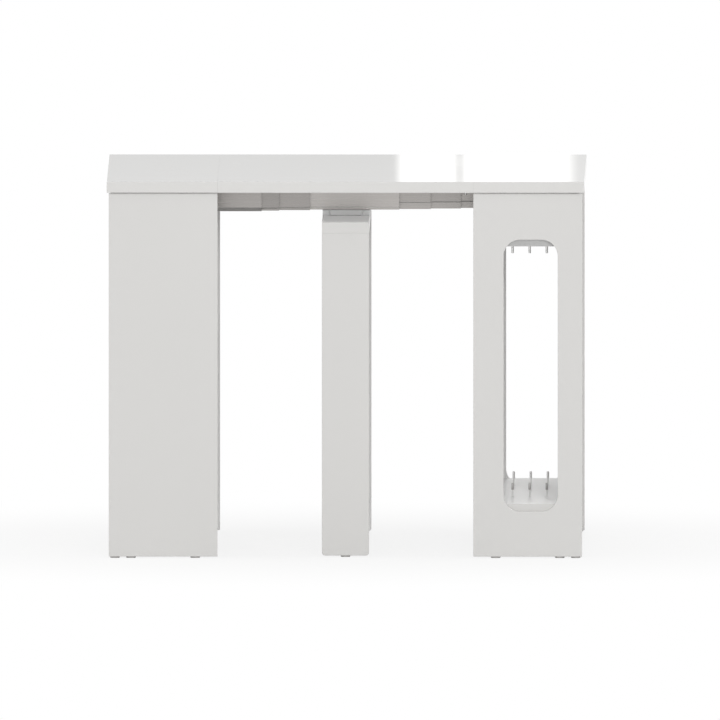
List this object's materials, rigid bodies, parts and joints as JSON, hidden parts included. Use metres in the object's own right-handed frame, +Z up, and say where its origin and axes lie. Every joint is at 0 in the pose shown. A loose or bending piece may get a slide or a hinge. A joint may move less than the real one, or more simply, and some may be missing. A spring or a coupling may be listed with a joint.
{
  "type": "extending console table",
  "caption": "Free-standing extending console table: hollow end columns, half tops and a leaf on interlocking telescopic rails, a centre leg and a leaf rack.",
  "frame": {"origin": "on the floor, under the middle of the table as it stands with one leaf fitted", "axes": "+X along the extension, towards the column with the leaf rack; +Y from the pictured front to the back; +Z up"},
  "size_m": [0.9522, 0.9, 0.752],
  "materials": {
    "lacquer": "pale gloss lacquer on board",
    "aluminium": "satin anodised",
    "steel": "zinc plated",
    "dark_plastic": "moulded"
  },
  "bodies": {
    "centre": {"rail_4_front": "aluminium", "rail_4_back": "aluminium", "leg_dovetail_front": "aluminium", "leg_dovetail_back": "aluminium", "leg_sockets": "aluminium", "leg_cap": "lacquer", "leg_front_board": "lacquer", "leg_back_board": "lacquer", "leg_angle_brackets": "steel", "leg_bracket_screws": "steel", "leg_feet": "dark_plastic", "centre_leaf_pads": "dark_plastic"},
    "left_inner_rails": {"rail_3_front": "aluminium", "rail_3_back": "aluminium"},
    "left_middle_rails": {"rail_2_front": "aluminium", "rail_2_back": "aluminium"},
    "left_end": {"left_front_panel": "lacquer", "left_back_panel": "lacquer", "left_end_panel": "lacquer", "left_half_top": "lacquer", "left_top_spacers": "dark_plastic", "left_feet": "dark_plastic", "left_corner_brackets": "steel", "left_corner_screws": "steel", "left_top_brackets": "steel", "left_top_screws": "steel", "left_rail_packers": "dark_plastic", "left_leaf_pads": "dark_plastic", "rail_1_front": "aluminium", "rail_1_back": "aluminium", "rail_1_wear_strips": "dark_plastic"},
    "right_inner_rails": {"rail_5_front": "aluminium", "rail_5_back": "aluminium"},
    "right_middle_rails": {"rail_6_front": "aluminium", "rail_6_back": "aluminium"},
    "right_end": {"right_front_panel": "lacquer", "right_back_panel": "lacquer", "right_end_panel": "lacquer", "right_half_top": "lacquer", "right_top_spacers": "dark_plastic", "right_feet": "dark_plastic", "right_corner_brackets": "steel", "right_corner_screws": "steel", "right_top_brackets": "steel", "right_top_screws": "steel", "right_rail_packers": "dark_plastic", "right_leaf_pads": "dark_plastic", "rail_7_front": "aluminium", "rail_7_back": "aluminium", "rack_floor": "lacquer", "rack_ceiling": "lacquer", "rack_floor_pins": "steel", "rack_ceiling_pins": "steel"},
    "leaf": {"leaf": "lacquer"}
  },
  "joints": [
    {"name": "left_inner_slide", "type": "slide", "parent": "centre", "child": "left_inner_rails", "axis": [-1, 0, 0], "range_m": [0, 0.012]},
    {"name": "left_middle_slide", "type": "slide", "parent": "left_inner_rails", "child": "left_middle_rails", "axis": [-1, 0, 0], "range_m": [0, 0.1108]},
    {"name": "left_pull", "type": "slide", "parent": "left_middle_rails", "child": "left_end", "axis": [-1, 0, 0], "range_m": [0, 0.1372]},
    {"name": "right_inner_slide", "type": "slide", "parent": "centre", "child": "right_inner_rails", "axis": [1, 0, 0], "range_m": [0, 0.1025]},
    {"name": "right_middle_slide", "type": "slide", "parent": "right_inner_rails", "child": "right_middle_rails", "axis": [1, 0, 0], "range_m": [0, 0.105]},
    {"name": "right_pull", "type": "slide", "parent": "right_middle_rails", "child": "right_end", "axis": [1, 0, 0], "range_m": [0, 0.0525]},
    {"name": "leaf_lift", "type": "slide", "parent": "left_end", "child": "leaf", "axis": [0, 0, 1], "range_m": [0, 0.15]}
  ],
  "couplings": [
    {"joint": "left_middle_slide", "follows": "left_pull", "ratio": 0.80758},
    {"joint": "left_inner_slide", "follows": "left_pull", "ratio": 0.08746},
    {"joint": "right_middle_slide", "follows": "right_pull", "ratio": 2},
    {"joint": "right_inner_slide", "follows": "right_pull", "ratio": 1.9524}
  ]
}
